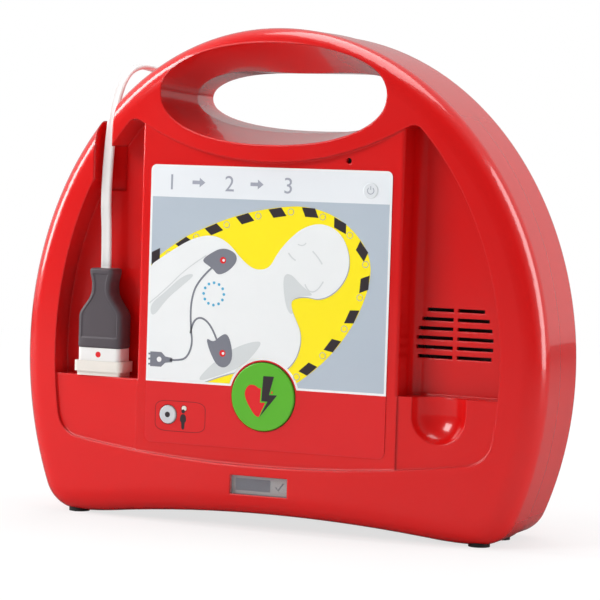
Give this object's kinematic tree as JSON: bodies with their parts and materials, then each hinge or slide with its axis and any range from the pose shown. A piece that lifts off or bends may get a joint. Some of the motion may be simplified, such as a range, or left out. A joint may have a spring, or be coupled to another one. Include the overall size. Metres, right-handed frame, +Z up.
{
  "type": "automated external defibrillator",
  "caption": "Portable defibrillator: red two-shell case with a carrying grip, keypad panel, parked electrode plug, speaker grille, rear electrode bay and battery.",
  "frame": {"origin": "centre of the overall box at the ground it stands on", "axes": "+X right as seen from the front, +Y from the front panel to the back, +Z up"},
  "size_m": [0.32, 0.132, 0.282],
  "materials": {
    "case_red": "glossy moulded ABS",
    "black_rubber": "moulded rubber",
    "printed_film": "reverse-printed polyester film",
    "green_key": "glossy silicone key",
    "grey_key": "matt key",
    "lamp_lens": "light-emitting diode lens",
    "dark_plastic": "black moulding",
    "circuit_board": "solder-masked laminate",
    "steel": "zinc-plated steel",
    "cream_plastic": "cream moulding",
    "aluminium_can": "drawn can",
    "copper_coil": "varnished winding and core",
    "clear_window": "clear window",
    "display_grey": "liquid crystal display",
    "cone_paper": "pressed paper cone",
    "brass": "plated brass",
    "white_plastic": "white moulding",
    "plug_grey": "dark grey moulding",
    "lead_white": "white cable sheath",
    "packet_foil": "sealed foil packet",
    "pack_grey": "dark grey moulding"
  },
  "bodies": {
    "root": {"battery_contacts": "brass", "board_connector": "cream_plastic", "capacitor_clamp": "steel", "case_screws": "steel", "charge_transformer": "copper_coil", "child_lamp": "lamp_lens", "cover_hinge_pin": "steel", "discharge_relay": "dark_plastic", "electrode_lead": "lead_white", "electrode_packet": "packet_foil", "electrode_socket": "cream_plastic", "energy_capacitor": "aluminium_can", "front_shell": "case_red", "key_switches": "dark_plastic", "keypad_board": "circuit_board", "keypad_foil": "printed_film", "keypad_ribbon": "cream_plastic", "lead_grommet": "black_rubber", "main_board": "circuit_board", "main_board_screws": "steel", "main_chips": "dark_plastic", "microphone": "aluminium_can", "plug_body": "plug_grey", "plug_collar": "white_plastic", "plug_pins": "brass", "power_board": "circuit_board", "power_board_screws": "steel", "rear_shell": "case_red", "rubber_feet": "black_rubber", "seam_gasket": "black_rubber", "socket_contacts": "brass", "speaker_basket": "steel", "speaker_cone": "cone_paper", "speaker_gasket": "black_rubber", "speaker_magnet": "dark_plastic", "status_board": "circuit_board", "status_display": "display_grey", "status_window": "clear_window"},
    "shock_key": {"shock_button": "green_key"},
    "child_key": {"child_button": "grey_key"},
    "power_key": {"power_button": "grey_key"},
    "release_key": {"battery_release": "pack_grey"},
    "battery": {"battery_pack": "pack_grey"},
    "cover": {"packet_cover": "case_red"}
  },
  "joints": [
    {"name": "shock_press", "type": "slide", "parent": "root", "child": "shock_key", "axis": [0, 1, 0], "range_m": [0, 0.0012], "stiffness_N_per_m": 1500, "springref_m": -0.0005},
    {"name": "child_press", "type": "slide", "parent": "root", "child": "child_key", "axis": [0, 1, 0], "range_m": [0, 0.0012], "stiffness_N_per_m": 1200, "springref_m": -0.0005},
    {"name": "power_press", "type": "slide", "parent": "root", "child": "power_key", "axis": [0, 1, 0], "range_m": [0, 0.0012], "stiffness_N_per_m": 1200, "springref_m": -0.0005},
    {"name": "release_press", "type": "slide", "parent": "root", "child": "release_key", "axis": [0, -1, 0], "range_m": [0, 0.0025], "stiffness_N_per_m": 900, "springref_m": -0.001},
    {"name": "battery_slide", "type": "slide", "parent": "root", "child": "battery", "axis": [0, 1, 0], "range_m": [0, 0.07]},
    {"name": "cover_hinge", "type": "hinge", "parent": "root", "child": "cover", "pos_m": [0, 0.0626, 0.082], "axis": [-1, 0, 0], "range_deg": [0, 90]}
  ]
}
